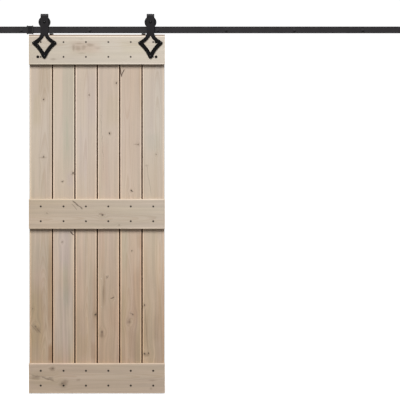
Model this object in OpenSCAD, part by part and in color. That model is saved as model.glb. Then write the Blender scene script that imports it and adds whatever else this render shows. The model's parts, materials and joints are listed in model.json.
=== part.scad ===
// Sliding plank door on a flat steel track.
// Millimetres. +X runs to the right along the track, +Y into the wall and +Z up.
// The origin lies on the wall plane, behind the middle of the track.
// The door is drawn near the left end of its travel.

/* [Door] */
// Height of the door
door_h = 2133.6; // [1700:0.1:2600]
// Width that one board covers
board_w = 133.35; // [110:0.05:165]
// Thickness of a board
board_t = 19; // [16:0.5:24]
// Extra width of the first board, which has no groove in its free edge
first_board_extra = 4; // [0:0.5:20]
// Width of the bevel along each board edge that makes the V-joints
vee = 3.5; // [1:0.5:4]
// Gap left between two board faces
board_gap = 1.5; // [0.4:0.1:2]
// Length of the tongue along a board's right edge
tongue_l = 8; // [5:0.5:10]
// Thickness of the tongue
tongue_t = 6; // [4:0.5:7]
// Clearance around the tongue in its groove
tongue_clear = 0.3; // [0.1:0.05:0.5]
// Gap between the left wheel and the left end stop, which sets where the door is drawn
park_gap = 31.45; // [2:0.05:1500]
// Gap between the underside of the track and the top of the door
door_gap = 8.5; // [7.5:0.5:14]

/* [Rails] */
// Height of a rail, the cross board nailed over the planks
rail_h = 177.8; // [150:0.1:240]
// Thickness of a rail
rail_t = 19; // [16:0.5:24]
// How far a rail runs past the planks at each side
rail_over = 2; // [0:0.5:6]
// Bevel along the front edges of a rail
rail_bevel = 1.5; // [0.5:0.1:3]
// Height of the wider bevel along the top of the top rail
top_bevel_h = 8; // [2:0.5:10]
// Depth of the wider bevel along the top of the top rail
top_bevel_d = 5; // [2:0.5:8]

/* [Nails and drilled holes] */
// Distance of each nail row from the middle of its rail
nail_row = 44; // [30:0.5:60]
// Diameter of a nail's shank
nail_d = 2.8; // [2:0.1:4]
// Diameter of a nail's head
nail_head_d = 6; // [4.5:0.1:8]
// Thickness of a nail's head
nail_head_t = 1.5; // [1:0.1:2]
// Whole length of a nail
nail_l = 33; // [26:0.5:36]
// Depth that a nail's head is punched below the face
nail_sink = 0.4; // [0.1:0.1:1]
// Diameter of the spare drilled holes in the top rail
spare_d = 13; // [8:0.5:16]
// Depth of the spare drilled holes
spare_depth = 30; // [24:0.5:34]
// Distance of a spare hole from the outer nail, towards the edge of the door
spare_offset = 17; // [12:0.5:22]

/* [Track] */
// Length of the track
track_l = 2743.2; // [2200:0.1:3300]
// Height of the track's flat bar
track_h = 40; // [32:0.5:50]
// Thickness of the track's flat bar
track_t = 6; // [5:0.5:8]
// Distance between two fixing holes
hole_pitch = 406.4; // [300:0.1:450]
// Diameter of a fixing hole
hole_d = 9; // [8.5:0.1:11]

/* [Wall fixings] */
// Length of a wall spacer, from the wall to the back of the track
spacer_l = 35; // [32:0.5:50]
// Outer diameter of a wall spacer
spacer_d = 25; // [20:0.5:32]
// Shank diameter of a lag screw
lag_d = 8; // [7:0.1:8]
// Diameter of a lag screw's threaded part
lag_thread_d = 7.4; // [6:0.1:7.8]
// Length of the threaded part, which goes into the wall
lag_in = 45; // [30:1:60]
// Width of a lag screw's hexagon head across its flats
lag_head_af = 13; // [11:0.5:15]
// Height of a lag screw's hexagon head
lag_head_h = 5; // [4:0.5:5.5]
// Outer diameter of a washer under a lag screw's head
lag_washer_d = 20; // [16:0.5:24]
// Thickness of a washer
washer_t = 1.6; // [1:0.1:2]

/* [End stops] */
// Distance of each end stop from the middle of the track
stop_x = 1167; // [1165:0.5:1185]
// Length of a stop's steel clamp along the track
clamp_l = 26; // [20:0.5:34]
// Thickness of each of a stop's two rubber pads
pad_t = 6; // [4:0.5:10]
// Thickness of the clamp above and below the track
clamp_wall = 3.5; // [2.5:0.25:4]
// How far the pads stand out around the clamp
pad_proud = 2; // [1:0.25:3]
// Thickness of the clamp in front of the track and behind it
clamp_side = 6.5; // [5:0.25:7]
// Gap between the clamp and the track
clamp_clear = 0.3; // [0.1:0.05:0.5]
// Opening in the back of the clamp
clamp_mouth = 22; // [14:0.5:28]
// Diameter of a set screw in the clamp
set_screw_d = 6; // [4:0.5:8]
// Distance of each set screw from the middle of the track's height
set_screw_z = 11; // [8:0.5:14]

/* [Wheels] */
// Diameter of the wheel's tread, which rolls on the track
tread_d = 52; // [44:0.5:64]
// Height of the wheel's flanges above the tread
flange_h = 9.5; // [6:0.5:12]
// Width of the wheel
wheel_w = 22; // [18:0.5:26]
// Width of the groove between the flanges
groove_w = 8; // [6.5:0.5:10]
// Gap between the wheel and each leg of the hanger
wheel_gap = 1.5; // [1:0.25:3]
// Diameter of the axle bolt
axle_d = 10; // [8:0.5:12]
// Outer diameter of the ball bearing
bearing_d = 26; // [24:0.5:30]
// Width of the ball bearing
bearing_w = 8; // [7:0.5:10]
// Diameter of a bearing ball
ball_d = 4.76; // [3.5:0.02:5]

/* [Hangers] */
// Distance of the left hanger's centre line from the left end of the rails
left_inset = 92; // [82:0.5:140]
// Distance of the right hanger's centre line from the right end of the rails
right_inset = 85; // [82:0.5:140]
// Width of the hanger's strap
strap_w = 45; // [38:0.5:54]
// Thickness of the hanger's strap
strap_t = 5; // [4:0.5:6]
// Height of the strap's top above the wheel
strap_rise = 14; // [10:0.5:20]
// Inner radius of the two bends over the wheel
bend_r = 8; // [4:0.5:9]
// Distance of the diamond's side bolts from the hanger's centre line
corner_x = 64; // [58:0.5:72]
// Depth of the side bolts below the top of the door
corner_drop = 50.5; // [44:0.5:58]
// Radius of the diamond's side corners
corner_r = 9; // [8.5:0.25:12]
// Depth of the lower bolt below the top of the door
tip_drop = 129.5; // [110:0.5:145]
// Radius of the diamond's lower corner
tip_r = 13; // [10:0.5:16]
// Width of the diamond's legs
leg_w = 22; // [18:0.5:24]
// Height above the top of the door where the strap widens into the diamond
neck_rise = 14.5; // [10:0.5:20]
// Diameter of the bolts that hold a hanger to the door
bolt_d = 8; // [6:0.5:8]
// Diameter of a bolt's domed head
bolt_head_d = 15; // [12:0.5:17]
// Height of a bolt's domed head
bolt_head_h = 4; // [3:0.25:5]

/* [Anti-jump discs] */
// Diameter of a disc
disc_d = 25; // [20:0.5:30]
// Thickness of a disc
disc_t = 7; // [4:0.25:7]
// Distance of a disc from its hanger's centre line, towards the middle of the door
disc_offset = 41; // [36:0.5:60]
// Shank diameter of a disc's wood screw
disc_screw_d = 4.5; // [3.5:0.1:5.5]
// Length of a disc's wood screw
disc_screw_l = 35; // [25:1:45]

/* [Hidden] */
$fn = 64;

// Overrun that keeps a cut from ending exactly on a face.
cut = 1;
// Radial clearance of a screw, bolt or nail in its hole.
hole_clear = 0.2;
// Radial running clearance of the axle in its sleeves and bearing.
axle_clear = 0.05;

STEEL = "#3a393a";
DARK_STEEL = "#2c2b2c";
NYLON = "#232324";
RUBBER = "#1d1d1e";
BRIGHT = "#9a9a9c";
PINE = "#c4b49f";
RAIL_PINE = "#cabdad";
NAIL_BROWN = "#4a3527";

// Planes across the depth, from the wall outwards.
track_back = -spacer_l;
track_front = track_back - track_t;
track_mid = track_back - track_t / 2;
strap_back = track_mid - wheel_w / 2 - wheel_gap;
strap_front = strap_back - strap_t;
rear_leg_front = track_mid + wheel_w / 2 + wheel_gap;
rear_leg_back = rear_leg_front + strap_t;
rail_front = strap_back;
board_front = rail_front + rail_t;
door_back = board_front + board_t;

// The wheels run on the track, and the left one is parked beside its end stop.
axle_z = track_h / 2 + tread_d / 2;
flange_d = tread_d + 2 * flange_h;
hanger_left_x = -stop_x + clamp_l / 2 + pad_t + park_gap + flange_d / 2;

// The door's outline, which hangs from the left hanger.
board_count = 6;
rail_left = hanger_left_x - left_inset;
door_left = rail_left + rail_over;
door_w = board_count * board_w + first_board_extra;
door_top = -track_h / 2 - door_gap;
door_bottom = door_top - door_h;
rail_w = door_w + 2 * rail_over;
top_rail_z = door_top - rail_h / 2;
middle_rail_z = door_top - door_h / 2;
bottom_rail_z = door_bottom + rail_h / 2;

// Where each board starts and ends.
function board_left(i) = door_left + (i == 1 ? 0 : first_board_extra + (i - 1) * board_w);
function board_right(i) = door_left + first_board_extra + i * board_w;
function board_middle(i) = (board_left(i) + board_right(i)) / 2;
tongue_mid = board_front + board_t / 2;

// The hangers and their bolts.
strap_top = axle_z + flange_d / 2 + strap_rise;
hanger_right_x = rail_left + rail_w - right_inset;
bolt_spots = [
    [-corner_x, door_top - corner_drop],
    [corner_x, door_top - corner_drop],
    [0, door_top - tip_drop]
];
hanger_xs = [hanger_left_x, hanger_right_x];

// A nail goes through the middle of its board, but one beside a hanger keeps clear of its lower bolt.
nail_clear = bolt_head_d / 2 + nail_head_d / 2 + 3;
function nail_x(i, rail_z) =
    rail_z != top_rail_z ? board_middle(i)
    : i == 1 ? min(board_middle(i), hanger_left_x - nail_clear)
    : i == board_count ? max(board_middle(i), hanger_right_x + nail_clear)
    : board_middle(i);
spare_xs = [nail_x(1, top_rail_z) - spare_offset, nail_x(board_count, top_rail_z) + spare_offset];
disc_xs = [hanger_left_x + disc_offset, hanger_right_x - disc_offset];

// The bearing: balls between two grooved rings.
ball_pitch_r = (axle_d + bearing_d) / 4;
race_r = ball_d / 2 + 0.07;
race_shoulder = 1.4;
ball_count = 7;
sleeve_d = axle_d + 4;
wheel_lip = 2;

// The nut sizes follow the bolts they fit.
bolt_nut_af = bolt_d * 1.6;
bolt_nut_h = bolt_d * 0.8;
axle_nut_af = axle_d * 1.7;
axle_nut_h = axle_d * 0.8;
axle_head_d = axle_d * 1.7;
axle_head_h = axle_d * 0.5;
bolt_washer_d = bolt_d * 2.1;
thread_end = 1;

// The diamond's curves: how far each bows inwards, where the neck's curve meets the side
// corner, and the angles where the rounded corners start and end.
neck_bow = 4.8;
leg_bow = 6;
window_top_bow = 4.2;
window_leg_bow = 1.7;
shoulder_step = [-23, 26];
corner_from = 54;
corner_to = -45;
tip_from = -26;
window_top_share = 0.2;
window_tip_share = 1.1;

hole_count = 7;
hole_xs = [for (i = [0 : hole_count - 1]) (i - (hole_count - 1) / 2) * hole_pitch];

// Points of the arc from p to q whose middle stands s off the straight line between them.
function bow(p, q, s, n = 10) =
    let (d = q - p, chord = norm(d), u = d / chord, v = [-u[1], u[0]],
         r = (chord * chord / 4 + s * s) / (2 * abs(s)), half = asin(chord / 2 / r))
    [for (k = [0 : n])
        let (a = -half + 2 * half * k / n)
        p + u * (chord / 2 + r * sin(a)) + v * sign(s) * (r * cos(a) - r * cos(half))];

// Points of an arc about c from angle a to angle b.
function arc(c, r, a, b, n = 8) = [for (k = [0 : n]) c + r * [cos(a + (b - a) * k / n), sin(a + (b - a) * k / n)]];

function flipped(points) = [for (k = [len(points) - 1 : -1 : 0]) [-points[k][0], points[k][1]]];

// A round bar along +Y from y0 to y1.
module bar_y(d, y0, y1) {
    translate([0, y1, 0]) rotate([90, 0, 0]) cylinder(d = d, h = y1 - y0);
}

// A tube along +Y from y0 to y1.
module tube_y(outer, inner, y0, y1) {
    difference() {
        bar_y(outer, y0, y1);
        bar_y(inner, y0 - cut, y1 + cut);
    }
}

// A hexagon nut or head along +Y from y0 to y1, measured across its flats.
module hex_y(af, y0, y1) {
    translate([0, y1, 0]) rotate([90, 0, 0]) rotate([0, 0, 30])
        cylinder(d = af / cos(30), h = y1 - y0, $fn = 6);
}

// A low dome whose flat side lies at y0 and which rises to -Y.
module dome_y(d, h, y0) {
    sphere_r = (d * d / 4 + h * h) / (2 * h);
    translate([0, y0, 0]) rotate([90, 0, 0]) rotate_extrude()
        intersection() {
            translate([0, h - sphere_r]) circle(r = sphere_r);
            square([d / 2, h]);
        }
}

// Every hole drilled through the door's front: hanger bolts, spare holes and nails.
module door_drillings() {
    for (x = hanger_xs)
        for (spot = bolt_spots)
            translate([x + spot[0], 0, spot[1]])
                bar_y(bolt_d + 2 * hole_clear, rail_front - cut, door_back + cut);
    for (x = spare_xs)
        for (side = [-1, 1])
            translate([x, 0, top_rail_z + side * nail_row])
                bar_y(spare_d, rail_front - cut, rail_front + spare_depth);
}

module nail_holes(rail_z) {
    for (i = [1 : board_count])
        for (side = [-1, 1])
            translate([nail_x(i, rail_z), 0, rail_z + side * nail_row]) {
                bar_y(nail_d + 2 * hole_clear, rail_front - cut, rail_front + nail_sink + nail_l + hole_clear);
                bar_y(nail_head_d + 2 * hole_clear, rail_front - cut, rail_front + nail_sink + nail_head_t);
            }
}

// The pilot holes of the screws that hold the anti-jump discs.
module disc_pilots() {
    for (x = disc_xs)
        translate([x, track_mid, door_top - disc_screw_l - hole_clear])
            cylinder(d = disc_screw_d + 2 * hole_clear, h = disc_screw_l + hole_clear + cut);
}

// A board's cross-section, seen from above: bevelled front edges, tongue right and groove left.
module board_section(i) {
    left = board_left(i) + (i == 1 ? 0 : board_gap / 2);
    right = board_right(i) - (i == board_count ? 0 : board_gap / 2);
    difference() {
        polygon([
            [left, board_front + vee], [left + vee, board_front],
            [right - vee, board_front], [right, board_front + vee],
            [right, door_back], [left, door_back]
        ]);
        if (i > 1)
            translate([left - cut, tongue_mid - tongue_t / 2 - tongue_clear])
                square([tongue_l + cut, tongue_t + 2 * tongue_clear]);
    }
    if (i < board_count)
        translate([right - cut, tongue_mid - tongue_t / 2])
            square([tongue_l + cut, tongue_t]);
}

module board(i) {
    color(PINE) difference() {
        translate([0, 0, door_bottom]) linear_extrude(height = door_h) board_section(i);
        door_drillings();
        for (z = [top_rail_z, middle_rail_z, bottom_rail_z]) nail_holes(z);
    }
}

// A rail with a bevel of height bh and depth bd along its upper front edge.
module rail(z, bh, bd) {
    color(RAIL_PINE) difference() {
        translate([rail_left, 0, z]) rotate([90, 0, 90]) linear_extrude(height = rail_w)
            polygon([
                [board_front, -rail_h / 2], [rail_front + rail_bevel, -rail_h / 2],
                [rail_front, -rail_h / 2 + rail_bevel], [rail_front, rail_h / 2 - bh],
                [rail_front + bd, rail_h / 2], [board_front, rail_h / 2]
            ]);
        nail_holes(z);
        if (z == top_rail_z) {
            door_drillings();
            disc_pilots();
        }
    }
}

// One nail along +Y: flat head, straight shank and a short point.
module nail() {
    point = 2 * nail_d;
    translate([0, rail_front + nail_sink, 0]) rotate([-90, 0, 0]) {
        cylinder(d = nail_head_d, h = nail_head_t);
        cylinder(d = nail_d, h = nail_l - point);
        translate([0, 0, nail_l - point]) cylinder(d1 = nail_d, d2 = 0.4, h = point);
    }
}

module rail_nails(z) {
    color(NAIL_BROWN)
        for (i = [1 : board_count])
            for (side = [-1, 1])
                translate([nail_x(i, z), 0, z + side * nail_row]) nail();
}

module track() {
    color(STEEL) difference() {
        translate([-track_l / 2, track_front, -track_h / 2]) cube([track_l, track_t, track_h]);
        for (x = hole_xs) translate([x, 0, 0]) bar_y(hole_d, track_front - cut, track_back + cut);
    }
}

module wall_spacers() {
    color(STEEL) for (x = hole_xs) translate([x, 0, 0]) tube_y(spacer_d, hole_d, track_back, 0);
}

module lag_washers() {
    color(DARK_STEEL)
        for (x = hole_xs) translate([x, 0, 0])
            tube_y(lag_washer_d, hole_d, track_front - washer_t, track_front);
}

// One lag screw: hexagon head, plain shank through the spacer, and thread with a point in the wall.
module lag_screw() {
    head_back = track_front - washer_t;
    point = lag_thread_d;
    hex_y(lag_head_af, head_back - lag_head_h, head_back);
    bar_y(lag_d, head_back - cut, 0);
    bar_y(lag_thread_d, -cut, lag_in - point);
    translate([0, lag_in - point, 0]) rotate([-90, 0, 0]) cylinder(d1 = lag_thread_d, d2 = 1, h = point);
}

module lag_screws() {
    color(DARK_STEEL) for (x = hole_xs) translate([x, 0, 0]) lag_screw();
}

// A C-shaped section around the track, grown by extra, with its mouth at the back.
module stop_section(extra) {
    slot_h = track_h + 2 * clamp_clear;
    difference() {
        translate([track_front - clamp_side - extra, -track_h / 2 - clamp_wall - extra])
            square([track_t + 2 * clamp_side + 2 * extra, track_h + 2 * clamp_wall + 2 * extra]);
        translate([track_front - clamp_clear, -slot_h / 2])
            square([track_t + 2 * clamp_clear, slot_h]);
        translate([track_back, -clamp_mouth / 2])
            square([clamp_side + extra + cut, clamp_mouth]);
    }
}

module stop_slice(x0, length, extra) {
    translate([x0, 0, 0]) rotate([90, 0, 90]) linear_extrude(height = length) stop_section(extra);
}

module stop_clamp(x) {
    color(STEEL) difference() {
        stop_slice(x - clamp_l / 2, clamp_l, 0);
        for (side = [-1, 1])
            translate([x, 0, side * set_screw_z])
                bar_y(set_screw_d + 2 * hole_clear, track_front - clamp_side - cut, track_front);
    }
}

module stop_pads(x) {
    color(RUBBER) {
        stop_slice(x - clamp_l / 2 - pad_t, pad_t, pad_proud);
        stop_slice(x + clamp_l / 2, pad_t, pad_proud);
    }
}

// Two set screws with hexagon sockets, which press on the face of the track.
module stop_screws(x) {
    socket = set_screw_d / 2;
    front = track_front - clamp_side + 0.5;
    color(DARK_STEEL)
        for (side = [-1, 1])
            translate([x, 0, side * set_screw_z]) difference() {
                bar_y(set_screw_d, front, track_front);
                hex_y(socket, front - cut, front + socket);
            }
}

// The strap's side section: two legs joined by two bends above the wheel.
module strap_section() {
    outer_r = bend_r + strap_t;
    top_inner = strap_top - strap_t;
    leg_foot = axle_z;
    translate([strap_front, door_top]) square([strap_t, strap_top - outer_r - door_top]);
    translate([rear_leg_front, leg_foot]) square([strap_t, strap_top - outer_r - leg_foot]);
    translate([strap_front + outer_r, top_inner])
        square([rear_leg_back - strap_front - 2 * outer_r, strap_t]);
    for (corner = [[strap_back + bend_r, -1], [rear_leg_front - bend_r, 1]])
        intersection() {
            translate([corner[0], strap_top - outer_r]) difference() {
                circle(r = outer_r);
                circle(r = bend_r);
            }
            translate([corner[0] + (corner[1] < 0 ? -outer_r : 0), strap_top - outer_r])
                square([outer_r, outer_r]);
        }
}

// Half of the diamond's outline, from the neck round the side corner to the lower corner.
function diamond_edge() =
    let (corner = [corner_x, -corner_drop], tip = [0, -tip_drop],
         neck = [strap_w / 2, neck_rise], shoulder = corner + shoulder_step,
         below = corner + corner_r * [cos(corner_to), sin(corner_to)],
         end = tip + tip_r * [cos(tip_from), sin(tip_from)])
    concat(bow(neck, shoulder, -neck_bow), arc(corner, corner_r, corner_from, corner_to),
           bow(below, end, -leg_bow), arc(tip, tip_r, tip_from, -90, 4));

// Half of the diamond's window: a top point, a side point and a bottom point.
function window_edge() =
    let (top = [0, -window_top_share * leg_w], side = [corner_x - leg_w, -corner_drop],
         bottom = [0, -tip_drop + window_tip_share * leg_w])
    concat(bow(top, side, -window_top_bow), bow(side, bottom, -window_leg_bow));

module diamond_outline() {
    edge = diamond_edge();
    window = window_edge();
    difference() {
        polygon(concat(edge, flipped(edge)));
        polygon(concat(window, flipped(window)));
    }
}

// One hanger: strap, bends, rear leg and open diamond, all one piece of bar.
module hanger(x) {
    color(STEEL) difference() {
        translate([x, 0, 0]) {
            difference() {
                translate([-strap_w / 2, 0, 0]) rotate([90, 0, 90])
                    linear_extrude(height = strap_w) strap_section();
                // The strap ends where the diamond's window starts.
                translate([-strap_w, strap_front - cut, door_top - cut])
                    cube([2 * strap_w, strap_t + 2 * cut, neck_rise + cut]);
            }
            translate([0, strap_back, door_top]) rotate([90, 0, 0])
                linear_extrude(height = strap_t) diamond_outline();
            translate([0, 0, axle_z]) bar_y(strap_w, rear_leg_front, rear_leg_back);
        }
        translate([x, 0, axle_z])
            bar_y(axle_d + 2 * hole_clear, strap_front - cut, rear_leg_back + cut);
        for (spot = bolt_spots)
            translate([x + spot[0], 0, spot[1]])
                bar_y(bolt_d + 2 * hole_clear, strap_front - cut, strap_back + cut);
    }
}

module hanger_bolts(x) {
    bolt_end = door_back + washer_t + bolt_nut_h + thread_end;
    color(DARK_STEEL)
        for (spot = bolt_spots)
            translate([x + spot[0], 0, spot[1]]) {
                dome_y(bolt_head_d, bolt_head_h, strap_front);
                bar_y(bolt_d, strap_front - cut, bolt_end);
            }
}

module bolt_washers(x) {
    color(DARK_STEEL)
        for (spot = bolt_spots)
            translate([x + spot[0], 0, spot[1]])
                tube_y(bolt_washer_d, bolt_d + 2 * hole_clear, door_back, door_back + washer_t);
}

module bolt_nuts(x) {
    color(DARK_STEEL)
        for (spot = bolt_spots)
            translate([x + spot[0], 0, spot[1]]) difference() {
                hex_y(bolt_nut_af, door_back + washer_t, door_back + washer_t + bolt_nut_h);
                bar_y(bolt_d + 2 * axle_clear, door_back, door_back + washer_t + bolt_nut_h + cut);
            }
}

module axle(x) {
    color(DARK_STEEL) translate([x, 0, axle_z]) {
        dome_y(axle_head_d, axle_head_h, strap_front);
        bar_y(axle_d, strap_front - cut, rear_leg_back + axle_nut_h + thread_end);
    }
}

module axle_nut(x) {
    color(DARK_STEEL) translate([x, 0, axle_z]) difference() {
        hex_y(axle_nut_af, rear_leg_back, rear_leg_back + axle_nut_h);
        bar_y(axle_d + 2 * axle_clear, rear_leg_back - cut, rear_leg_back + axle_nut_h + cut);
    }
}

// Two sleeves that clamp the bearing's inner ring between the hanger's legs.
module axle_sleeves(x) {
    color(BRIGHT) translate([x, 0, axle_z]) {
        tube_y(sleeve_d, axle_d + 2 * axle_clear, strap_back, track_mid - bearing_w / 2);
        tube_y(sleeve_d, axle_d + 2 * axle_clear, track_mid + bearing_w / 2, rear_leg_front);
    }
}

// One bearing ring between two diameters, with the raceway cut into it.
module bearing_ring(x, outer, inner) {
    color(BRIGHT) translate([x, track_mid, axle_z]) rotate([90, 0, 0]) difference() {
        cylinder(d = outer, h = bearing_w, center = true);
        cylinder(d = inner, h = bearing_w + 2 * cut, center = true);
        rotate_extrude() translate([ball_pitch_r, 0]) circle(r = race_r, $fn = 32);
    }
}

module bearing_inner(x) {
    bearing_ring(x, 2 * (ball_pitch_r - race_shoulder), axle_d + 2 * axle_clear);
}

module bearing_outer(x) {
    bearing_ring(x, bearing_d, 2 * (ball_pitch_r + race_shoulder));
}

module bearing_balls(x) {
    color(BRIGHT) translate([x, track_mid, axle_z])
        for (k = [0 : ball_count - 1])
            rotate([0, k * 360 / ball_count, 0]) translate([ball_pitch_r, 0, 0])
                sphere(d = ball_d, $fn = 24);
}

// A flanged wheel with a flat-bottomed groove, a bearing seat and a lip behind the bearing.
module wheel(x) {
    groove_slope = 1;
    color(NYLON) translate([x, track_mid, axle_z]) rotate([90, 0, 0]) difference() {
        rotate_extrude() polygon([
            [0, -wheel_w / 2], [flange_d / 2 - 1, -wheel_w / 2], [flange_d / 2, -wheel_w / 2 + 1],
            [flange_d / 2, -groove_w / 2 - groove_slope], [tread_d / 2, -groove_w / 2],
            [tread_d / 2, groove_w / 2], [flange_d / 2, groove_w / 2 + groove_slope],
            [flange_d / 2, wheel_w / 2 - 1], [flange_d / 2 - 1, wheel_w / 2], [0, wheel_w / 2]
        ]);
        translate([0, 0, -bearing_w / 2]) cylinder(d = bearing_d, h = wheel_w);
        translate([0, 0, -wheel_w]) cylinder(d = bearing_d - 2 * wheel_lip, h = 2 * wheel_w);
    }
}

// A flat disc on top of the door, countersunk for its screw.
module anti_jump_disc(x) {
    sink = disc_screw_d;
    color(NYLON) translate([x, track_mid, door_top]) difference() {
        cylinder(d = disc_d, h = disc_t);
        translate([0, 0, -cut]) cylinder(d = disc_screw_d + 2 * hole_clear, h = disc_t + 2 * cut);
        translate([0, 0, disc_t - sink / 2])
            cylinder(d1 = disc_screw_d + 2 * hole_clear, d2 = 2 * disc_screw_d + 2 * hole_clear, h = sink / 2);
    }
}

module disc_screw(x) {
    sink = disc_screw_d;
    point = disc_screw_d;
    color(DARK_STEEL) translate([x, track_mid, door_top]) {
        translate([0, 0, disc_t - sink / 2]) cylinder(d1 = disc_screw_d, d2 = 2 * disc_screw_d, h = sink / 2);
        translate([0, 0, -disc_screw_l + point])
            cylinder(d = disc_screw_d, h = disc_screw_l - point + disc_t - sink / 2);
        translate([0, 0, -disc_screw_l]) cylinder(d1 = 0.5, d2 = disc_screw_d, h = point);
    }
}

track();
wall_spacers();
lag_screws();
lag_washers();
stop_clamp(-stop_x);  // left_stop_clamp
stop_pads(-stop_x);  // left_stop_pads
stop_screws(-stop_x);  // left_stop_screws
stop_clamp(stop_x);  // right_stop_clamp
stop_pads(stop_x);  // right_stop_pads
stop_screws(stop_x);  // right_stop_screws
board(1);  // board_1
board(2);  // board_2
board(3);  // board_3
board(4);  // board_4
board(5);  // board_5
board(6);  // board_6
rail(top_rail_z, top_bevel_h, top_bevel_d);  // top_rail
rail(middle_rail_z, rail_bevel, rail_bevel);  // middle_rail
rail(bottom_rail_z, rail_bevel, rail_bevel);  // bottom_rail
rail_nails(top_rail_z);  // top_rail_nails
rail_nails(middle_rail_z);  // middle_rail_nails
rail_nails(bottom_rail_z);  // bottom_rail_nails
hanger(hanger_left_x);  // left_hanger
hanger(hanger_right_x);  // right_hanger
hanger_bolts(hanger_left_x);  // left_hanger_bolts
hanger_bolts(hanger_right_x);  // right_hanger_bolts
bolt_washers(hanger_left_x);  // left_bolt_washers
bolt_washers(hanger_right_x);  // right_bolt_washers
bolt_nuts(hanger_left_x);  // left_bolt_nuts
bolt_nuts(hanger_right_x);  // right_bolt_nuts
axle(hanger_left_x);  // left_axle
axle(hanger_right_x);  // right_axle
axle_nut(hanger_left_x);  // left_axle_nut
axle_nut(hanger_right_x);  // right_axle_nut
axle_sleeves(hanger_left_x);  // left_axle_sleeves
axle_sleeves(hanger_right_x);  // right_axle_sleeves
bearing_inner(hanger_left_x);  // left_bearing_inner
bearing_inner(hanger_right_x);  // right_bearing_inner
wheel(hanger_left_x);  // left_wheel
wheel(hanger_right_x);  // right_wheel
bearing_outer(hanger_left_x);  // left_bearing_outer
bearing_outer(hanger_right_x);  // right_bearing_outer
bearing_balls(hanger_left_x);  // left_bearing_balls
bearing_balls(hanger_right_x);  // right_bearing_balls
anti_jump_disc(disc_xs[0]);  // left_anti_jump_disc
anti_jump_disc(disc_xs[1]);  // right_anti_jump_disc
disc_screw(disc_xs[0]);  // left_disc_screw
disc_screw(disc_xs[1]);  // right_disc_screw
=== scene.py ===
"""A sliding plank door on a flat steel track: materials, softened edges, light and camera around the CAD frame."""
import json
import math

import bpy
import bmesh
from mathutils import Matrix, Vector

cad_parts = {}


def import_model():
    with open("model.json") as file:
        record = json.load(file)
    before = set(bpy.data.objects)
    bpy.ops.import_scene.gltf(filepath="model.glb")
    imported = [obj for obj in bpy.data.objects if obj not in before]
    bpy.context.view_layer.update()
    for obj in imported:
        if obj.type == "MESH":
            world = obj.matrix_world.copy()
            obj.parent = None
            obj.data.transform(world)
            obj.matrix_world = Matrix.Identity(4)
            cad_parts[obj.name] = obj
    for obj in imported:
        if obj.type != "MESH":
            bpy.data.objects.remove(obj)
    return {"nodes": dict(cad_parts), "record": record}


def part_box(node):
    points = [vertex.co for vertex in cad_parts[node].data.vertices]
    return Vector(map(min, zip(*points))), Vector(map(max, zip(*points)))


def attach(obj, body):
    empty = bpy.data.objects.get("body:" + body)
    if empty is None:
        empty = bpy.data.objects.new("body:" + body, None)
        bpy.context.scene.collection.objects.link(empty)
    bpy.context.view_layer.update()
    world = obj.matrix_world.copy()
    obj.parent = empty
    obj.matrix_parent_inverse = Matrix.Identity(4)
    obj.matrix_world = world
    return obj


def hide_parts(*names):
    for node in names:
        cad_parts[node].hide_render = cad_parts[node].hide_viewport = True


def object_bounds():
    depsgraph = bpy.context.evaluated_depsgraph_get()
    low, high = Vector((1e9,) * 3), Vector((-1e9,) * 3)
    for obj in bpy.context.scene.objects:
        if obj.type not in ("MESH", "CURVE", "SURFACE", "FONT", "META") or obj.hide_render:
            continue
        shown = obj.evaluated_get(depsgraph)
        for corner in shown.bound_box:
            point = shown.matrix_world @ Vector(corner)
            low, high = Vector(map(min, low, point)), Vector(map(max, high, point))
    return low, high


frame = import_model()
CAD_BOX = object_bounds()

MM = 0.001
NODES = frame["nodes"]
SLOTS = {part["node"]: part["material_slot"] for part in frame["record"]["subparts"]}
BODY_OF = {n: body for body, members in frame["record"]["behaviour"]["bodies"].items() for n in members}

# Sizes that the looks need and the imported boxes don't give.
BOARD_COUNT = 6
TONGUE = 8 * MM          # on the right edge of each board but the last
VEE = 4.25 * MM          # from a board's edge to where its front face starts
NAIL_ROW = 44 * MM       # from the middle of a rail to each row of nails
SPARE_OFFSET = 17 * MM   # from the outer nails to the spare holes
SPARE_RADIUS = 6.5 * MM
BEVEL_STRIP = 8 * MM     # height of the bevel along the top of the top rail

# The lag screws' thread.
LAG_COUNT = 7
LAG_HEAD_AF = 13 * MM    # across the flats of the head
LAG_ROOT = 3.7 * MM      # radius that the thread stands on
LAG_CREST = 0.3 * MM     # height of the thread, which is 8 mm across
LAG_LEAD = 2.8 * MM
LAG_TIP = 7.4 * MM       # length of the pointed tip
LAG_POINT = 0.5 * MM     # radius at its end
LAG_START = 1.5 * MM     # from the wall's face to where the thread starts
LAG_BARE = 0.8 * MM      # from where it ends to the end of the tip
LAG_SINK = 0.1 * MM      # how far the thread's foot is sunk in the shank
SECTIONS_A_TURN = 20

# The camera: a long lens, square to the door, as in the photo.
LENS = 200.0
SENSOR = 36.0
VIEW_WIDTH = 2.380       # width of the picture at the front of the rails
VIEW_LEFT_OF_CENTRE = 0.155
VIEW_BELOW_TRACK = 1.013
VIEW_CLIP = 100.0

# The studio.
FLOOR_GAP = 3 * MM
FLOOR_REACH = 9.0
FLOOR_FADE = (0.5, 2.2)  # how far from the object the floor starts and ends fading into the background
WHITE = (1.0, 1.0, 1.0, 1.0)
BRIGHT = 1.05            # strength of what the camera sees as white
SOFT_FILL = 0.12         # strength of the light from all around

# Softened edges.
BEVEL_SEGMENTS = 2
SHARP = math.radians(28.0)      # an edge that turns by more than this is rounded over
FLAT = math.radians(0.6)        # faces that turn by less than this are joined first
WELD = 2e-6


def srgb(r, g, b):
    """A linear colour from 8-bit sRGB levels."""
    def linear(level):
        c = level / 255.0
        return c / 12.92 if c <= 0.04045 else ((c + 0.055) / 1.055) ** 2.4
    return (linear(r), linear(g), linear(b), 1.0)


def tinted(colour, tint):
    """The colour multiplied by a tint."""
    return tuple(level * share for level, share in zip(colour, (*tint, 1.0)))


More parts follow.
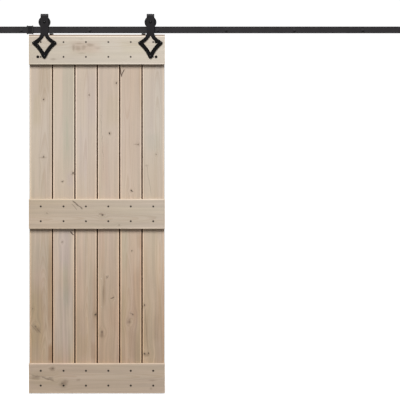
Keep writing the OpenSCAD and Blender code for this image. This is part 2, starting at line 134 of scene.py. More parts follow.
# ---------------------------------------------------------------- node expressions

class Value:
    """A number in a node tree, with the usual operators."""

    def __init__(self, graph, socket):
        self.graph, self.socket = graph, socket

    def __add__(self, other): return self.graph.math("ADD", self, other)
    def __radd__(self, other): return self.graph.math("ADD", other, self)
    def __sub__(self, other): return self.graph.math("SUBTRACT", self, other)
    def __rsub__(self, other): return self.graph.math("SUBTRACT", other, self)
    def __mul__(self, other): return self.graph.math("MULTIPLY", self, other)
    def __rmul__(self, other): return self.graph.math("MULTIPLY", other, self)
    def __truediv__(self, other): return self.graph.math("DIVIDE", self, other)
    def __rtruediv__(self, other): return self.graph.math("DIVIDE", other, self)
    def __abs__(self): return self.graph.math("ABSOLUTE", self)
    def part(self): return self.graph.math("FRACT", self)
    def least(self, other): return self.graph.math("MINIMUM", self, other)
    def most(self, other): return self.graph.math("MAXIMUM", self, other)

    def beside(self, other):
        """The length of the hypotenuse over this and another side."""
        return self.graph.math("SQRT", self * self + other * other)

    def nearest(self, places):
        """The distance to the nearest of several values."""
        gap = abs(self - places[0])
        for place in places[1:]:
            gap = gap.least(abs(self - place))
        return gap

    def step(self, low, high, at_low=0.0, at_high=1.0):
        """A smooth change from at_low to at_high as this goes from low to high."""
        made = self.graph.node("MapRange", {"Value": self, "From Min": low, "From Max": high,
                                            "To Min": at_low, "To Max": at_high},
                               interpolation_type="SMOOTHSTEP")
        return Value(self.graph, made.outputs["Result"])


class Graph:
    """One material's node tree, with the object's place and normal as x, y, z and nx, ny, nz."""

    def __init__(self, name):
        self.material = bpy.data.materials.new(name)
        self.material.use_nodes = True
        self.tree = self.material.node_tree
        self.tree.nodes.clear()
        place = self.tree.nodes.new("ShaderNodeTexCoord")
        self.x, self.y, self.z = self.parts(place.outputs["Object"])
        self.nx, self.ny, self.nz = self.parts(place.outputs["Normal"])

    def feed(self, socket, value):
        """Links a value to a socket, or sets a constant on it."""
        if isinstance(value, Value):
            value = value.socket
        if isinstance(value, bpy.types.NodeSocket):
            self.tree.links.new(value, socket)
        else:
            socket.default_value = value

    def node(self, kind, values, **settings):
        made = self.tree.nodes.new("ShaderNode" + kind)
        for key, value in settings.items():
            setattr(made, key, value)
        for key, value in values.items():
            self.feed(made.inputs[key], value)
        return made

    def math(self, operation, *operands):
        made = self.node("Math", dict(enumerate(operands)), operation=operation)
        return Value(self, made.outputs[0])

    def vector(self, x, y, z):
        return self.node("CombineXYZ", {"X": x, "Y": y, "Z": z}).outputs[0]

    def parts(self, vector):
        split = self.node("SeparateXYZ", {"Vector": vector})
        return [Value(self, split.outputs[k]) for k in "XYZ"]

    def length(self, vector):
        made = self.node("VectorMath", {0: vector}, operation="LENGTH")
        return Value(self, made.outputs["Value"])

    def place(self, scale):
        """The place on the object, scaled for noise."""
        return self.vector(self.x * scale, self.y * scale, self.z * scale)

    def mapping(self, vector, scale, start=(0.0, 0.0, 0.0)):
        """A vector stretched by scale along its axes, then moved on by start."""
        return self.node("Mapping", {"Vector": vector, "Scale": scale, "Location": start}).outputs[0]

    def seen_from(self, vector, place, turn=0.0, unit=(1.0, 1.0, 1.0)):
        """A vector measured from a place, along axes turned about z, in the given units."""
        return self.node("Mapping", {"Vector": vector, "Location": place, "Rotation": (0.0, 0.0, turn),
                                     "Scale": unit}, vector_type="TEXTURE").outputs[0]

    def noise(self, vector, detail=2.0, rough=0.5):
        """Smooth noise about 0, from roughly -1 to 1."""
        gain = 2.6
        made = self.node("TexNoise", {"Vector": vector, "Scale": 1.0, "Detail": detail, "Roughness": rough})
        return self.math("MULTIPLY_ADD", made.outputs["Fac"], gain, -gain / 2)

    def mix(self, share, a, b, blend="MIX"):
        made = self.node("Mix", {"Factor": share}, data_type="RGBA", blend_type=blend)
        self.feed(made.inputs[6], a)        # the colour sockets, which share their names with others
        self.feed(made.inputs[7], b)
        return made.outputs[2]

    def shade(self, colour, amount):
        """The colour made lighter or darker by a factor."""
        return self.mix(1.0, colour, amount, "MULTIPLY")

    def tint(self, share, colour, tint):
        """The colour multiplied by a tint, by a share."""
        return self.mix(share, colour, (*tint, 1.0), "MULTIPLY")

    def ramp(self, value, stops):
        made = self.node("ValToRGB", {"Fac": value})
        elements = made.color_ramp.elements
        while len(elements) < len(stops):
            elements.new(0.5)
        for element, (place, colour) in zip(elements, stops):
            element.position = place
            element.color = colour
        return made.outputs["Color"]

    def finish(self, colour, roughness, height, depth, strength, **constants):
        """The material, with a bump of the given depth. constants are set on the shader's own sockets."""
        bump = self.node("Bump", {"Height": height, "Distance": depth, "Strength": strength})
        shader = self.node("BsdfPrincipled", {"Base Color": colour, "Roughness": roughness,
                                              "Normal": bump.outputs["Normal"],
                                              **{key.replace("_", " "): v for key, v in constants.items()}})
        out = self.node("OutputMaterial", {"Surface": shader.outputs["BSDF"]})
        self.tree.nodes.active = out
        return self.material


# ---------------------------------------------------------------- wood

# The tone of the boards from the top of the door to its foot: darker and warmer towards the foot, partly the wood's
# own tone and partly painted shade of light falling off downwards.
BOARD_TONES = [
    (0.00, srgb(186, 171, 155)),
    (0.13, srgb(187, 172, 156)),
    (0.27, srgb(192, 178, 163)),
    (0.41, srgb(193, 177, 160)),
    (0.58, srgb(190, 172, 153)),
    (0.69, srgb(183, 163, 143)),
    (0.78, srgb(181, 160, 138)),
    (1.00, srgb(179, 156, 133)),
]

# Tints that the wood is multiplied by. The first eight are for washes.
SHADED = (0.84, 0.81, 0.76)
BROWN = (0.80, 0.70, 0.60)
OLIVE = (0.92, 0.91, 0.80)
PINKISH = (0.97, 0.90, 0.88)
GREENISH = (0.88, 0.95, 0.93)
LILAC = (0.94, 0.94, 1.05)
COOL = (1.00, 1.05, 1.13)
PALE = (1.13, 1.12, 1.10)
LATEWOOD = (0.80, 0.72, 0.64)
END_GRAIN = (0.70, 0.64, 0.58)
RESIN = (0.99, 0.90, 0.79)
WARM_END = (1.0, 0.90, 0.77)
# The next tint is a painted shadow under the rails.
RAIL_SHADOW_TINT = (0.34, 0.29, 0.25)

# Colours of the marks on it.
KNOT_HALO = srgb(138, 118, 94)
KNOT_RIM = srgb(72, 56, 42)
KNOT_HEART = srgb(28, 20, 15)
STAIN = srgb(104, 84, 64)
# Pale strokes painted as glints.
PAINTED_GLINT = srgb(214, 202, 184)
CRACK = srgb(62, 45, 33)
SPECKS = srgb(112, 88, 68)
# Dark brown for the V-joints: soiling together with painted shade in the recess.
JOINT_DIRT_AND_SHADE = srgb(64, 35, 12)
NAIL_RUST = srgb(30, 21, 16)
# Painted shade on the top rail's bevel under the track, in a brown tone.
BEVEL_SHADE_BROWN = srgb(118, 97, 79)
# Black painted as the shade inside the spare holes.
SPARE_HOLE_SHADE = srgb(16, 11, 9)

# How the planks are cut from their trunks.
RING_WIDTH = 3.4 * MM
PITH_TAPER = 0.012       # how fast a trunk's axis leans away from its plank
PITH_WANDER = 0.018      # how far it wanders
ROUND_MARK = 1.25        # height of a knot or fleck, as a share of its width


class Wood:
    """One plank. Its grain runs along w, u lies across its face and v goes in from its front face."""

    def __init__(self, name, node, upright, seed):
        self.graph = g = Graph(name)
        self.low, self.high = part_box(node)
        self.centre = centre = (self.low + self.high) / 2
        self.upright = upright
        if upright:
            self.u, self.w = g.x - centre.x, g.z - centre.z
        else:
            self.u, self.w = g.z - centre.z, g.x - centre.x
        self.v = g.y - self.low.y
        self.seed = seed
        self.shift = None       # how far knots push the grain sideways
        self.washes = []        # (mask, tint) under the grain
        self.marks = []         # (mask, colour) over the grain
        self.dents = []         # heights taken off the surface

        # Uneven edges for the marks: coarse, middling and fine.
        self.plane = g.vector(self.u, self.w, 0.0)
        sway = g.noise(g.mapping(self.plane, (14.0, 3.0, 1.0), (seed, 0.0, 0.0)), 3.0, 0.6)
        self.swayed = g.vector(self.u + sway * 9 * MM, self.w + sway * 30 * MM, 0.0)
        self.uneven = g.noise(g.mapping(self.plane, (45.0, 25.0, 1.0), (0.0, seed, 0.0)), 3.0, 0.6)
        self.ragged = g.noise(g.mapping(self.plane, (160.0, 95.0, 1.0), (0.0, 0.0, seed)), 3.0, 0.7)

    def add(self, knots, blotches, cracks, washes, flecks):
        for make, marks in ((self.wash, washes), (self.blotch, blotches), (self.fleck, flecks),
                            (self.knot, knots), (self.crack, cracks)):
            for mark in marks:
                make(*mark)

    def knot(self, across, along, radius, strength=1.0):
        """A small dark knot, around which the grain flows."""
        g = self.graph
        away = g.length(g.seen_from(self.plane, (across, along, 0.0), unit=(1.0, ROUND_MARK, 1.0)))
        flow = 2.6 * radius
        push = (self.u - across) * ((flow * flow) / (away * away).most(flow * flow * 0.55))
        self.shift = push if self.shift is None else self.shift + push
        r = away + self.ragged * (0.75 * radius)
        heart = r.step(radius * 0.2, radius * 0.7, strength, 0.0)
        self.marks.append((r.step(radius * 0.8, radius * 3.0, 0.25 * strength, 0.0), KNOT_HALO))
        self.marks.append((r.step(radius * 0.5, radius * 1.1, 0.75 * strength, 0.0), KNOT_RIM))
        self.marks.append((heart, KNOT_HEART))
        self.dents.append(heart)

    def blotch(self, across, along, width, length, strength):
        """A soft, stained blotch with an uneven edge."""
        g = self.graph
        r = g.length(g.seen_from(self.plane, (across, along, 0.0), unit=(width, length, 1.0))) + self.uneven * 0.55
        self.marks.append((r.step(0.15, 1.05, strength, 0.0), STAIN))

    def wash(self, across, along, width, length, tint, strength, edge=0.5):
        """A tint over a stretch of the plank. edge is the share of the half width over which it fades."""
        g = self.graph
        du, dw, _ = g.parts(g.seen_from(self.swayed, (across, along, 0.0), unit=(width, length, 1.0)))
        mask = abs(du).step(1.0 - edge, 1.0 + edge * 0.3, strength, 0.0) * abs(dw).step(0.45, 1.1, 1.0, 0.0)
        self.washes.append((mask, tint))

    def fleck(self, across, along, radius, strength):
        """A painted glint: a pale curl of a few short arcs."""
        g = self.graph
        r = g.length(g.seen_from(self.plane, (across, along, 0.0), unit=(radius, radius * ROUND_MARK, 1.0)))
        arcs = (r * 2.2 + self.uneven * 1.3).part().step(0.5, 0.8)
        mask = arcs * self.ragged.step(0.0, 0.6) * r.step(0.4, 1.0, strength, 0.0)
        self.marks.append((mask, PAINTED_GLINT))

    def crack(self, start, end, width, strength, waver=4 * MM):
        """A thin dark line from start to end, given as (across, along)."""
        g = self.graph
        span = Vector(end) - Vector(start)
        turn = math.atan2(span.y, span.x)
        along, aside, _ = g.parts(g.seen_from(self.plane, (*start, 0.0), turn, (span.length, 1.0, 1.0)))
        aside = abs(aside + self.uneven * waver)
        line = (aside.step(width * 0.35, width, strength, 0.0) * along.step(-0.05, 0.1)
                * along.step(0.8, 1.0, 1.0, 0.0))
        self.marks.append((line, CRACK))
        self.dents.append(line)

    def make(self, tones, tone_at, pith, rough, extra):
        """The plank's material. rough is how strong its grain and colour changes are; extra(colour) adds marks,
        painted shade and painted highlights.
        """
        g, seed = self.graph, self.seed
        u = self.u if self.shift is None else self.u - self.shift
        grain = g.vector(u, self.v, self.w)

        # Year rings about the trunk's axis, which shows as straight or arched grain where the face cuts them.
        pith_u = g.noise(g.mapping(grain, (0.0, 0.0, 1.1), (seed * 7.1, seed, 0.0))) * PITH_WANDER
        pith_v = g.noise(g.mapping(grain, (0.0, 0.0, 0.8), (seed, seed * 3.3, 0.0))) * (PITH_WANDER * 1.3)
        ripple = g.noise(g.mapping(grain, (26.0, 26.0, 2.2), (0.0, 0.0, seed)), 3.0, 0.55)
        from_pith = g.vector(u - pith_u - pith[0], self.v - pith_v - self.w * PITH_TAPER - pith[1], 0.0)
        r = g.length(from_pith) + ripple * 1.3 * MM
        year = (r / RING_WIDTH + g.noise(g.vector(r * 45, seed, seed), 1.0) * 0.8).part()
        latewood = year.step(0.35, 0.9) * year.step(0.93, 1.0, 1.0, 0.0)

        bands = g.noise(g.vector(r * 95, seed * 2.7, self.w * 0.7), 3.0, 0.62)
        streaks = g.noise(g.mapping(grain, (60.0, 60.0, 1.7), (0.0, 0.0, seed)), 4.0, 0.62)
        fine = g.noise(g.mapping(grain, (900.0, 900.0, 28.0), (0.0, 0.0, seed)), 3.0, 0.6)
        patch = g.noise(g.mapping(grain, (9.0, 9.0, 2.3), (0.0, 0.0, seed * 1.9)), 3.0, 0.55)
        green = g.noise(g.mapping(grain, (16.0, 16.0, 1.3), (seed, 0.0, seed * 4.1))) * rough
        blue = g.noise(g.mapping(grain, (20.0, 20.0, 1.5), (seed * 5.3, 0.0, 0.0))) * rough
        specks = g.noise(g.mapping(grain, (150.0, 150.0, 60.0), (seed, 0.0, 0.0)))

        level = 1.0 + rough * (bands * 0.11 + streaks * 0.13 + patch * 0.06) + fine * 0.04
        cast = g.vector(level + green * -0.024, level + green * 0.008, level + blue * 0.048)
        colour = g.mix(1.0, g.ramp(tone_at, tones), cast, "MULTIPLY")
        for mask, tint in self.washes:
            colour = g.tint(mask, colour, tint)
        colour = g.tint(latewood * 0.36, colour, LATEWOOD)
        colour = g.mix(specks.step(0.78, 1.0, 0.0, 0.35), colour, SPECKS)

        # End grain is darker and rougher than the faces.
        end = abs(g.nz if self.upright else g.nx).step(0.7, 0.9)
        colour = g.tint(end * 0.75, colour, END_GRAIN)
        for mask, paint in self.marks:
            colour = g.mix(mask, colour, paint)
        height = fine * 0.35 + latewood * 0.30 + streaks * 0.25
        for dent in self.dents:
            height = height - dent * 1.2
        roughness = 0.62 + fine * 0.05 + latewood * -0.06 + end * 0.2
        return g.finish(extra(colour), roughness, height, depth=0.35 * MM, strength=0.55)


def board_right(number):
    """Where a board's face ends on its right, beside its tongue."""
    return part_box("board_%d" % number)[1].x - (TONGUE if number < BOARD_COUNT else 0.0)


def nail_columns():
    """Where the nails go: the middle of each board."""
    return [(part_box("board_%d" % n)[0].x + board_right(n)) / 2 for n in range(1, BOARD_COUNT + 1)]


def board_material(number, tint, pith, knots=(), blotches=(), cracks=(), washes=(), flecks=()):
    """A board: the door's tone from top to foot, times the board's own tint."""
    wood = Wood("planed_board_%d" % number, "board_%d" % number, True, seed=11.3 * number)
    g = wood.graph
    wood.add(knots, blotches, cracks, washes, flecks)
    from_left, from_right = g.x - wood.low.x, board_right(number) - g.x
    tone_at = (wood.high.z - g.z) / (wood.high.z - wood.low.z)
    tones = [(place, tinted(colour, tint)) for place, colour in BOARD_TONES]
    lower = tone_at.step(0.25, 0.85)

    def joints(colour):
        """Soiled V-joints with painted shade in them, painted highlights on the arrises beside them, warm resin
        along the edges and a painted shadow under the rails.
        """
        off_back = g.ny.step(0.3, 0.7, 1.0, 0.0)
        for side, (edge, joined) in enumerate(((from_left, number > 1), (from_right, number < BOARD_COUNT))):
            uneven = g.noise(g.vector(3.1 * number, side, g.z * 5), 3.0, 0.6)
            glow = edge.step(VEE, VEE + 13 * MM, 1.0, 0.0) * (lower * 0.6 + 0.25) * (uneven * 0.5 + 0.7)
            colour = g.tint(glow, colour, RESIN)
            # Painted highlights: the face is made paler along the edges beside each V-joint, where light catches
            # them.
            arris_highlight = off_back * edge.step(VEE * 0.9, VEE * 1.1) * edge.step(VEE * 1.7, VEE * 2.7, 1.0, 0.0)
            colour = g.shade(colour, 1.0 + arris_highlight * (uneven * 0.3 + 0.8) * 0.50)
            if joined:
                # The groove and the gap between the boards are darkened by soiling and by painted shade in the
                # recess.
                groove = off_back * edge.step(VEE * 0.6, VEE * 1.0, 0.98, 0.0)
                joint_dirt_and_shade = groove.most(edge.step(0.6 * MM, 1.8 * MM, 0.9, 0.0))
                colour = g.mix(joint_dirt_and_shade, colour, JOINT_DIRT_AND_SHADE)
        on_front = g.ny.step(-0.7, -0.4, 1.0, 0.0)
        # A painted shadow on the boards' front just under the top and middle rails, darkest at the rail and fading
        # out over 34 mm.
        for rail, rail_shadow_share in (("top_rail", 0.42), ("middle_rail", 0.22)):
            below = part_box(rail)[0].z - g.z
            painted_rail_shadow = on_front * below.step(-1 * MM, 0.0) * below.step(0.0, 34 * MM, rail_shadow_share, 0.0)
            colour = g.tint(painted_rail_shadow, colour, RAIL_SHADOW_TINT)
        return colour

    return wood.make(tones, tone_at, pith, lower * 1.1 + 0.8, joints)


def rail_material(node, seed, tones, pith, nail_stain, rough, knots=(), blotches=(), cracks=(), washes=(), flecks=(),
                  browned_bevel=False):
    """A rail, whose tones run from its left to its right end. nail_stain is the radius of the rust around a nail."""
    wood = Wood("planed_" + node, node, False, seed)
    g = wood.graph
    wood.add(knots, blotches, cracks, washes, flecks)
    tone_at = (g.x - wood.low.x) / (wood.high.x - wood.low.x)
    columns = nail_columns()

    def edges(colour):
        """Painted highlights along the arrises above and below, warm ends, rust around the nails, and painted shade
        on the top rail's bevel and in its spare holes.
        """
        from_top, from_foot = wood.high.z - g.z, g.z - wood.low.z
        from_end = (g.x - wood.low.x).least(wood.high.x - g.x)
        start = BEVEL_STRIP if browned_bevel else 0.5 * MM
        # Painted highlights: paler bands along the front's top and bottom edges.
        upper_highlight = from_top.step(start, start + 1 * MM) * from_top.step(start + 4 * MM, start + 8 * MM, 1.0, 0.0)
        lower = from_foot.step(0.0, 1 * MM) * from_foot.step(4 * MM, 8 * MM, 1.0, 0.0)
        colour = g.shade(colour, 1.0 + upper_highlight * 0.52 + lower * 0.30)
        colour = g.tint(from_end.step(1 * MM, 9 * MM, 0.5, 0.0), colour, WARM_END)
        from_row = abs(g.z - wood.centre.z) - NAIL_ROW
        from_nail = g.x.nearest(columns).beside(from_row)
        colour = g.mix(from_nail.step(nail_stain, nail_stain + 2.8 * MM, 0.95, 0.0), colour, NAIL_RUST)
        if browned_bevel:
            # The bevel strip along the top is painted darker brown, as shade under the track.
            bevel_shade = from_top.step(BEVEL_STRIP - 0.4 * MM, BEVEL_STRIP + 0.6 * MM, 1.0, 0.0)
            uneven = g.noise(g.vector(g.x * 30, seed, seed), 3.0) * 0.08
            colour = g.mix(bevel_shade * (0.85 + uneven), colour, BEVEL_SHADE_BROWN)
            # The spare holes in the top rail are painted black, as the shade inside them.
            spares = [columns[0] - SPARE_OFFSET, columns[-1] + SPARE_OFFSET]
            from_spare = g.x.nearest(spares).beside(from_row)
            colour = g.mix(from_spare.step(SPARE_RADIUS * 1.1, SPARE_RADIUS * 1.6, 0.97, 0.0), colour, SPARE_HOLE_SHADE)
        return colour

    return wood.make(tones, tone_at, pith, rough, edges)


# ---------------------------------------------------------------- metal, plastic and rubber

def powder_coat(name, level, gloss, seed=0.0, tone=None):
    """Matt black powder coat: orange-peel skin, dusty and rubbed in places. tone(graph) darkens it by place."""
    g = Graph(name)
    peel = g.noise(g.place(900))
    cloud = g.noise(g.place(16 + seed), 4.0, 0.6)
    dust = g.noise(g.place(130), 4.0, 0.65)
    rubbed = dust.step(0.55, 1.05) * cloud.step(0.0, 0.7)
    colour = g.shade(srgb(level + 1, level - 1, level + 1), 1.0 + cloud * 0.16 + dust * 0.08)
    colour = g.mix(rubbed * 0.35, colour, srgb(86, 83, 81))
    if tone:
        colour = g.shade(colour, tone(g))
    roughness = 0.46 + cloud * 0.06 + dust * 0.04
    return g.finish(colour, roughness, peel, depth=0.06 * MM, strength=0.5, Specular_IOR_Level=gloss)


def oxide(name):
    """Black oxide on small steel fasteners: dark, satin and slightly patchy."""
    g = Graph(name)
    fine = g.noise(g.place(1500))
    cloud = g.noise(g.place(90), 4.0, 0.6)
    colour = g.shade(srgb(17, 16, 17), 1.0 + cloud * 0.3)
    colour = g.mix(cloud.step(0.7, 1.3) * 0.4, colour, srgb(74, 66, 60))
    return g.finish(colour, 0.38 + cloud * 0.1, fine, depth=0.04 * MM, strength=0.4, Metallic=0.55)


def nylon(name, centre):
    """Turned black nylon: faint rings about the turning axis and a waxy sheen."""
    g = Graph(name)
    r = (g.x - centre.x).beside(g.z - centre.z)
    tooled = abs((r / (0.6 * MM)).part() - 0.5) * 2.0
    cloud = g.noise(g.place(60), 4.0, 0.6)
    worn = g.noise(g.place(300), 3.0, 0.6)
    colour = g.shade(srgb(19, 18, 20), 1.0 + cloud * 0.2 + worn * 0.1)
    return g.finish(colour, 0.42 + worn * 0.07, tooled + worn * 0.5, depth=0.05 * MM, strength=0.4,
                    Specular_IOR_Level=0.25)


def rubber(name):
    """Dull black rubber with a fine grain."""
    g = Graph(name)
    grain = g.noise(g.place(700), 4.0, 0.65)
    cloud = g.noise(g.place(45), 3.0, 0.6)
    colour = g.shade(srgb(31, 30, 30), 1.0 + cloud * 0.22 + grain * 0.1)
    return g.finish(colour, 0.78 + grain * 0.05, grain, depth=0.08 * MM, strength=0.6)


def ground_steel(name, centre):
    """Bright bearing steel with fine grinding lines about its axis."""
    g = Graph(name)
    r = (g.x - centre.x).beside(g.z - centre.z)
    lines = g.noise(g.vector(r * 4000, g.y * 1500, 0.0))
    cloud = g.noise(g.place(120), 3.0)
    colour = g.shade(srgb(178, 178, 180), 1.0 + cloud * 0.06 + lines * 0.05)
    return g.finish(colour, 0.28 + lines * 0.06, lines, depth=0.02 * MM, strength=0.3, Metallic=1.0)


def nail_steel(name):
    """Cut-nail steel, browned and slightly rusty."""
    g = Graph(name)
    hammered = g.noise(g.place(700), 3.0, 0.6)
    rust = g.noise(g.place(260), 4.0, 0.6)
    colour = g.mix(rust.step(-0.4, 0.9), srgb(34, 24, 19), srgb(66, 43, 30))
    colour = g.shade(colour, 1.0 + hammered * 0.15)
    return g.finish(colour, 0.6 + rust * 0.1, hammered, depth=0.12 * MM, strength=0.6, Metallic=0.35)


# ---------------------------------------------------------------- pieces

def paint(piece, material):
    piece.data.materials.clear()
    piece.data.materials.append(material)


def in_scene(name, data):
    """A new object in the scene."""
    made = bpy.data.objects.new(name, data)
    bpy.context.scene.collection.objects.link(made)
    return made


def softened(node, name, width):
    """A copy of a CAD node whose sharp edges are rounded over, which stands for the node."""
    mesh = NODES[node].data.copy()
    mesh.name = name
    build = bmesh.new()
    build.from_mesh(mesh)
    bmesh.ops.remove_doubles(build, verts=build.verts, dist=WELD)
    bmesh.ops.dissolve_limit(build, angle_limit=FLAT, verts=build.verts, edges=build.edges)
    for face in build.faces:
        face.smooth = True
    build.to_mesh(mesh)
    build.free()
    if mesh.has_custom_normals:
        mesh.attributes.remove(mesh.attributes["custom_normal"])
    piece = in_scene(name, mesh)
    bevel = piece.modifiers.new("rounded", "BEVEL")
    bevel.width = width
    bevel.segments = BEVEL_SEGMENTS
    bevel.limit_method = "ANGLE"
    bevel.angle_limit = SHARP
    bevel.harden_normals = True
    bevel.use_clamp_overlap = True
    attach(piece, BODY_OF[node])
    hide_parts(node)
    return piece


# How far the sharp edges of each kind of part are rounded over.
BOARD_EASE = 0.8 * MM
EASED_EDGES = {
    "track": 0.6 * MM, "wall_spacers": 0.6 * MM, "lag_screws": 0.4 * MM, "lag_washers": 0.3 * MM,
    "stop_clamp": 0.8 * MM, "stop_pads": 0.8 * MM,
    "hanger": 0.8 * MM, "hanger_bolts": 0.4 * MM, "bolt_nuts": 0.4 * MM, "bolt_washers": 0.3 * MM,
    "wheel": 0.4 * MM, "axle": 0.4 * MM, "axle_nut": 0.4 * MM, "anti_jump_disc": 0.5 * MM,
    "top_rail": 1.0 * MM, "middle_rail": 1.0 * MM, "bottom_rail": 1.0 * MM,
}


def softened_nodes():
    """Rounded copies of the parts whose edges catch the light."""
    made = {}
    for node in NODES:
        kind = node.replace("left_", "").replace("right_", "")
        width = BOARD_EASE if kind.startswith("board_") else EASED_EDGES.get(kind)
        if width:
            made[node] = softened(node, node + "_eased", width)
    return made


def lag_thread(build, x, z, tip):
    """One closed, raised helix around a lag screw's shank, which tapers off along the tip."""
    end = tip - LAG_BARE
    sections = int((end - LAG_START) / LAG_LEAD * SECTIONS_A_TURN)
    rings = []
    for k in range(sections + 1):
        turn = 2 * math.pi * k / SECTIONS_A_TURN
        y = LAG_START + LAG_LEAD * k / SECTIONS_A_TURN
        root = min(LAG_ROOT, LAG_POINT + (LAG_ROOT - LAG_POINT) * (tip - y) / LAG_TIP)
        crest = LAG_CREST * min(1.0, k / SECTIONS_A_TURN, (end - y) / LAG_LEAD + 0.1)
        rings.append([build.verts.new((x + (root + out) * math.cos(turn), y + ahead * LAG_LEAD,
                                       z + (root + out) * math.sin(turn)))
                      for ahead, out in ((-0.25, -LAG_SINK), (0.0, crest), (0.25, -LAG_SINK))])
    for a, b in zip(rings, rings[1:]):
        for i in range(3):
            j = (i + 1) % 3
            build.faces.new((a[i], a[j], b[j], b[i]))
    build.faces.new(reversed(rings[0]))
    build.faces.new(rings[-1])


def lag_threads():
    low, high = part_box("lag_screws")
    first, last = low.x + LAG_HEAD_AF / 2, high.x - LAG_HEAD_AF / 2
    build = bmesh.new()
    for screw in range(LAG_COUNT):
        lag_thread(build, first + (last - first) * screw / (LAG_COUNT - 1), (low.z + high.z) / 2, high.y)
    bmesh.ops.recalc_face_normals(build, faces=build.faces)
    mesh = bpy.data.meshes.new("lag_threads")
    build.to_mesh(mesh)
    build.free()
    piece = in_scene("lag_threads", mesh)
    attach(piece, BODY_OF["lag_screws"])
    return piece


def assign_materials(shown):
    """The materials of all that isn't wood, by slot, and for the flat steel by kind."""
    track_low, track_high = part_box("track")
    coats = {
        "track": powder_coat("powder_coat_track", 42, 0.20,
                             tone=lambda g: (track_high.z - g.z).step(0.0, 7 * MM, 0.35, 1.0)),
        "hanger": powder_coat("powder_coat_hanger", 32, 0.13, seed=5.0,
                              tone=lambda g: g.z.step(track_low.z - 45 * MM, track_low.z, 0.16, 1.0)),
        "clamp": powder_coat("powder_coat_clamp", 26, 0.16, seed=9.0),
    }
    screws = powder_coat("powder_coat_screws", 47, 0.26, seed=13.0)
    plain = {"black_fastener": oxide("black_oxide"), "black_rubber": rubber("stop_rubber"),
             "nail_steel": nail_steel("browned_nail_steel")}
    turned = {"black_nylon": nylon, "bright_steel": ground_steel}
    paint(shown["lag_threads"], screws)
    for node in NODES:
        piece = shown.get(node, NODES[node])
        slot = SLOTS[node]
        if node.startswith("lag_"):
            paint(piece, screws)
        elif slot == "black_steel":
            paint(piece, coats.get(node.split("_")[-1], coats["track"]))
        elif slot in plain:
            paint(piece, plain[slot])
        elif slot in turned:
            low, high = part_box(node)
            paint(piece, turned[slot](slot + "_" + node, (low + high) / 2))


